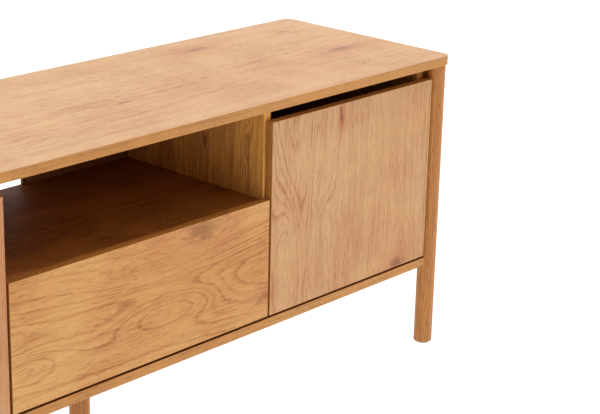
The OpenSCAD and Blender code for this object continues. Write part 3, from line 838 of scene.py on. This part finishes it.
def make_catches():
    """Magnetic catches: a moulded case with two pole plates at its mouth."""
    made = Fitting()
    for low, high in solids("door_catches"):
        size = high - low
        middle = (low + high) / 2
        made.at((middle.x, low.y, middle.z), unit(X), unit(Y))
        case = [(0.0006, 0.94), (0.0012, 1.0), (size.y - 0.0006, 1.0), (size.y, 0.95)]
        made.stack(rounded(size.x, size.z, 0.0020), case)
        for shift in (-0.0022, 0.0022):
            made.plate(rounded(0.0012, size.z * 0.7, 0.0004, shift, 0.0), 0.0, 0.0006)
    made.finish("magnetic_door_catches", "door_catches", grey_plastic)


def quarter_turns(count):
    """Angles from 0 to a right angle, for rounding an end."""
    return [math.pi / 2 * k / count for k in range(count + 1)]


def make_bumpers():
    """Soft domes on the case that the closed doors rest against."""
    made = Fitting()
    for low, high in solids("door_bumpers"):
        radius = (high.z - low.z) / 2
        height = high.y - low.y
        made.at(end_point(low, high, Y, 1), unit(X), unit(Y, -1))
        dome = [(height * math.sin(t), radius * (0.35 + 0.65 * math.cos(t))) for t in quarter_turns(6)]
        made.stack(ring_of(1.0, 32), dome)
    made.finish("domed_door_bumpers", "door_bumpers", felt)


def make_runner(part, side, opening, balls_in_row):
    """One rolled channel of a ball runner, with rounded shoulders and curled lips.

    opening is the way the channel's mouth faces along X. Only the middle channel has balls, in two rows.
    """
    node = f"runner_{part}_{side}"
    made = Fitting()
    low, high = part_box(node)
    size = high - low
    middle = (low + high) / 2
    web = 0.0013
    lip = 0.0016
    bend = 0.0020
    ball_r = 0.0008
    end_gap = 0.012
    back_x = low.x if opening > 0 else high.x
    half = size.z / 2
    deep = size.x
    outer = [(deep, half), (bend, half), (bend * 0.3, half - bend * 0.3), (0.0, half - bend)]
    inner = [(web, half - bend), (web * 1.3, half - web * 1.3), (bend, half - web)]
    mouth = [(deep - web, half - web), (deep - web, half - web - lip), (deep, half - web - lip)]
    upper = outer + [(x, -z) for x, z in reversed(outer)]
    lower = [(x, -z) for x, z in reversed(mouth)] + [(x, -z) for x, z in reversed(inner)] + inner + mouth
    profile = upper + lower
    # The section is drawn with X into the channel's mouth and Y up, and runs on along the runner.
    section = Matrix(((opening, 0, 0, 0), (0, 0, 1, 0), (0, 1, 0, 0), (0, 0, 0, 1)))
    made.place = Matrix.Translation((back_x, low.y, middle.z)) @ section
    made.plate(profile, 0.0, size.y)
    for row in (-1, 1):
        for k in range(balls_in_row):
            y = low.y + end_gap + k * (size.y - 2 * end_gap) / (balls_in_row - 1)
            z = middle.z + row * (half - web - ball_r - 0.0001)
            seat = Matrix.Translation((back_x + opening * deep * 0.62, y, z))
            bmesh.ops.create_icosphere(made.bm, subdivisions=2, radius=ball_r, matrix=seat)
    made.finish(f"rolled_{part}_channel_{side}", node, rail_zinc)


def make_latch():
    """The push latch's moulded case with its bore, and the plunger with a rounded tip."""
    housing = Fitting()
    low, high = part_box("latch_housing")
    size = high - low
    middle = (low + high) / 2
    plunger_low, plunger_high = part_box("latch_plunger")
    radius = (plunger_high.z - plunger_low.z) / 2
    housing.at((middle.x, high.y, middle.z), unit(X), unit(Y, -1))
    case = [(0.0, 0.90), (0.0015, 1.0), (size.y - 0.0010, 1.0), (size.y, 0.93)]
    bore_depth = 0.047
    bore = ring_of(radius + 0.0003, 40)
    housing.stack(rounded(size.x, size.z, 0.0025), case, bore, size.y - bore_depth)
    housing.finish("push_latch_case", "latch_housing", grey_plastic)
    plunger = Fitting()
    length = plunger_high.y - plunger_low.y
    plunger.at(end_point(plunger_low, plunger_high, Y, 1), unit(X), unit(Y, -1))
    round_r = radius * 0.5
    tip = [(length - round_r + round_r * math.sin(t), round_r * (1 + math.cos(t)))
           for t in quarter_turns(6)]
    plunger.stack(ring_of(1.0, 40), [(0.0, radius * 0.9), (0.0006, radius)] + tip)
    plunger.finish("round_nosed_plunger", "latch_plunger", white_plastic)


def make_glides():
    """Felt-faced glides with rounded edges, each on a peg that is ribbed to grip its hole."""
    made = Fitting()
    pad_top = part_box("leg_centre")[0].z - 0.0001
    for low, high in solids("foot_glides"):
        radius = (high.x - low.x) / 2
        made.at(end_point(low, high, Z, -1), unit(X), unit(Z))
        pad = [(0.0, radius - 0.0008), (0.0003, radius - 0.0002), (0.0008, radius), (pad_top, radius)]
        made.stack(ring_of(1.0, 64), pad)
        ribs = [(pad_top + k * 0.001, 0.0029 if k % 2 else 0.0025) for k in range(10)]
        made.stack(ring_of(1.0, 24), ribs + [(high.z - low.z, 0.0018)])
    made.finish("felt_faced_glides", "foot_glides", felt)


make_dowels()
make_shelf_pins()
make_cams()
make_screws("back_screws", "cross_head_back_screws", Y, False, 0.0015, 0.43)
make_screws("hinge_screws", "cross_head_hinge_screws", X, True, 0.0015, 0.55)
make_screws("drawer_screws", "cross_head_drawer_screws", Y, False, 0.0018, 0.50)
make_catches()
make_bumpers()
make_latch()
make_glides()
for side, inward in (("left", 1.0), ("right", -1.0)):
    make_hinge_arms(side, inward)
    make_hinge_cups(side)
    make_strike(side)
    make_runner("outer", side, inward, 0)
    make_runner("middle", side, inward, 20)
    make_runner("inner", side, -inward, 0)


# ---------------------------------------------------------------- floor, light and camera

def make_floor():
    """A wide pale floor under the stand."""
    half = 40.0
    gap = 0.0002
    mesh = bpy.data.meshes.new("studio_floor")
    corners = [(-half, -half, -gap), (half, -half, -gap), (half, half, -gap), (-half, half, -gap)]
    mesh.from_pydata(corners, [], [(0, 1, 2, 3)])
    floor = bpy.data.objects.new("studio_floor", mesh)
    bpy.context.scene.collection.objects.link(floor)
    g = Graph("pale_floor")
    g.shader.inputs["Base Color"].default_value = (0.45, 0.45, 0.45, 1)
    g.shader.inputs["Emission Color"].default_value = (1, 1, 1, 1)
    g.shader.inputs["Emission Strength"].default_value = 0.90
    g.shader.inputs["Roughness"].default_value = 0.9
    g.shader.inputs["Specular IOR Level"].default_value = 0.1
    mesh.materials.append(g.material)


def make_light():
    """White surroundings, dimmer low in front and on the left, and a soft lamp overhead."""
    world = bpy.data.worlds.new("studio")
    bpy.context.scene.world = world
    world.use_nodes = True
    tree = world.node_tree

    def spread(value, start, end, low, high):
        """A node that goes from low to high while value goes from start to end."""
        made = tree.nodes.new("ShaderNodeMapRange")
        for name, setting in (("From Min", start), ("From Max", end), ("To Min", low), ("To Max", high)):
            made.inputs[name].default_value = setting
        tree.links.new(value, made.inputs["Value"])
        return made

    direction = tree.nodes.new("ShaderNodeTexCoord")
    split = tree.nodes.new("ShaderNodeSeparateXYZ")
    tree.links.new(direction.outputs["Generated"], split.inputs[0])
    side = spread(split.outputs["X"], -0.9, 0.9, 0.40, 1.30)
    low_level = spread(split.outputs["Y"], -0.6, 0.6, 0.65, 1.0)
    level = spread(split.outputs["Z"], 0.20, 0.65, 0.65, 1.0)
    tree.links.new(low_level.outputs[0], level.inputs["To Min"])
    both = tree.nodes.new("ShaderNodeMath")
    both.operation = "MULTIPLY"
    tree.links.new(side.outputs[0], both.inputs[0])
    tree.links.new(level.outputs[0], both.inputs[1])
    path = tree.nodes.new("ShaderNodeLightPath")
    seen = tree.nodes.new("ShaderNodeMix")
    seen.inputs["B"].default_value = 1.0
    tree.links.new(path.outputs["Is Camera Ray"], seen.inputs["Factor"])
    tree.links.new(both.outputs[0], seen.inputs["A"])
    surroundings = tree.nodes["Background"]
    surroundings.inputs["Color"].default_value = (1.0, 1.0, 1.0, 1)
    tree.links.new(seen.outputs["Result"], surroundings.inputs["Strength"])
    sun = bpy.data.lights.new("overhead", "SUN")
    sun.energy = 1.7
    sun.angle = math.radians(40)
    overhead = bpy.data.objects.new("overhead", sun)
    overhead.rotation_mode = "QUATERNION"
    overhead.rotation_quaternion = Vector((0.10, -0.08, 1.0)).to_track_quat("Z", "Y")
    bpy.context.scene.collection.objects.link(overhead)


def make_camera():
    """A long lens from the front left, a little above the top, turned slightly about its own axis."""
    yaw, pitch, roll = math.radians(47.888), math.radians(-18.878), math.radians(1.434)
    forward = Vector((math.sin(yaw) * math.cos(pitch), math.cos(yaw) * math.cos(pitch), math.sin(pitch)))
    level_right = Vector((math.cos(yaw), -math.sin(yaw), 0))
    level_up = level_right.cross(forward)
    right = level_right * math.cos(roll) + level_up * math.sin(roll)
    up = level_up * math.cos(roll) - level_right * math.sin(roll)
    data = bpy.data.cameras.new("camera")
    data.sensor_width = 36.0
    data.lens = 101.34
    camera = bpy.data.objects.new("camera", data)
    turned = Matrix((right, up, -forward)).transposed().to_4x4()
    camera.matrix_world = Matrix.Translation((-1.6291, -1.9671, 1.2585)) @ turned
    bpy.context.scene.collection.objects.link(camera)
    bpy.context.scene.camera = camera


make_floor()
make_light()
make_camera()
bpy.context.scene.view_settings.view_transform = "Standard"
